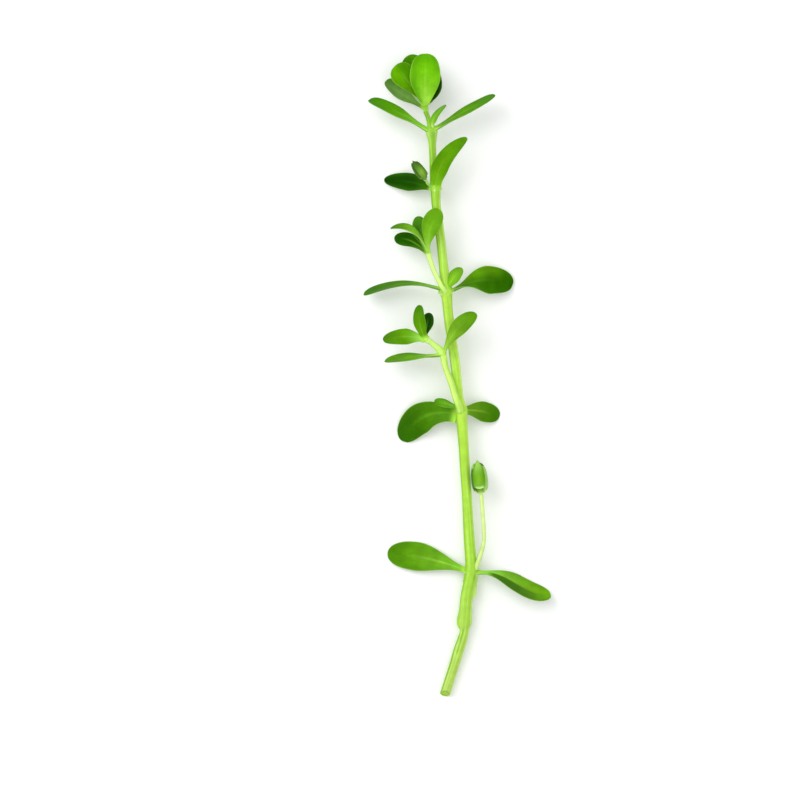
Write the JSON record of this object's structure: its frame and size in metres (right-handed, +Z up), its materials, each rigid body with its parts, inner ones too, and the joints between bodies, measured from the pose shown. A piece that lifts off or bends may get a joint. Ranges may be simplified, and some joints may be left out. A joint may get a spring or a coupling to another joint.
{
  "type": "cut stem of bacopa monnieri",
  "caption": "Fresh cut stem of bacopa monnieri lying flat, with paired spoon-shaped fleshy leaves, leafy side shoots and closed flower buds.",
  "frame": {"origin": "middle of the stem's bounding box, at its lowest point, on the surface it lies on", "axes": "+Y along the stem from its cut end to its top, +X to the right seen from above, +Z up from the surface"},
  "size_m": [0.0564, 0.1929, 0.0145],
  "materials": {
    "stem": "smooth fresh green stem with faint lengthwise ridges, satin",
    "bud": "closed green calyx with fine veins, satin",
    "leaf_bright": "fleshy young leaf, waxy satin with a soft sheen",
    "leaf_mid": "fleshy grown leaf, waxy satin with a soft sheen",
    "leaf_dark": "fleshy old leaf, waxy satin",
    "leaf_pale": "pale grey-green underside of a leaf, matt"
  },
  "bodies": {
    "root": {"main_stem": "stem", "upper_shoot_stem": "stem", "lower_shoot_stem": "stem", "lower_bud_pedicel": "stem", "upper_bud_pedicel": "stem", "lower_bud": "bud", "upper_bud": "bud", "first_left_leaf": "leaf_bright", "fourth_front_leaf": "leaf_bright", "fifth_young_leaf": "leaf_bright", "top_front_leaf": "leaf_bright", "top_left_leaf": "leaf_bright", "upper_shoot_front_leaf": "leaf_bright", "lower_shoot_front_leaf": "leaf_bright", "lower_shoot_end_left_leaf": "leaf_bright", "lower_shoot_end_up_leaf": "leaf_bright", "first_right_leaf": "leaf_mid", "second_right_leaf": "leaf_mid", "second_young_leaf": "leaf_mid", "third_left_leaf": "leaf_mid", "third_young_leaf": "leaf_mid", "fifth_left_leaf": "leaf_mid", "fifth_right_leaf": "leaf_mid", "upper_shoot_left_leaf": "leaf_mid", "upper_shoot_back_leaf": "leaf_mid", "lower_shoot_left_leaf": "leaf_mid", "second_left_leaf": "leaf_dark", "third_right_leaf": "leaf_dark", "fourth_left_leaf": "leaf_dark", "top_right_leaf": "leaf_dark", "top_back_leaf": "leaf_dark", "upper_shoot_low_leaf": "leaf_dark", "lower_shoot_end_back_leaf": "leaf_dark", "top_pale_leaf": "leaf_pale"}
  },
  "joints": []
}
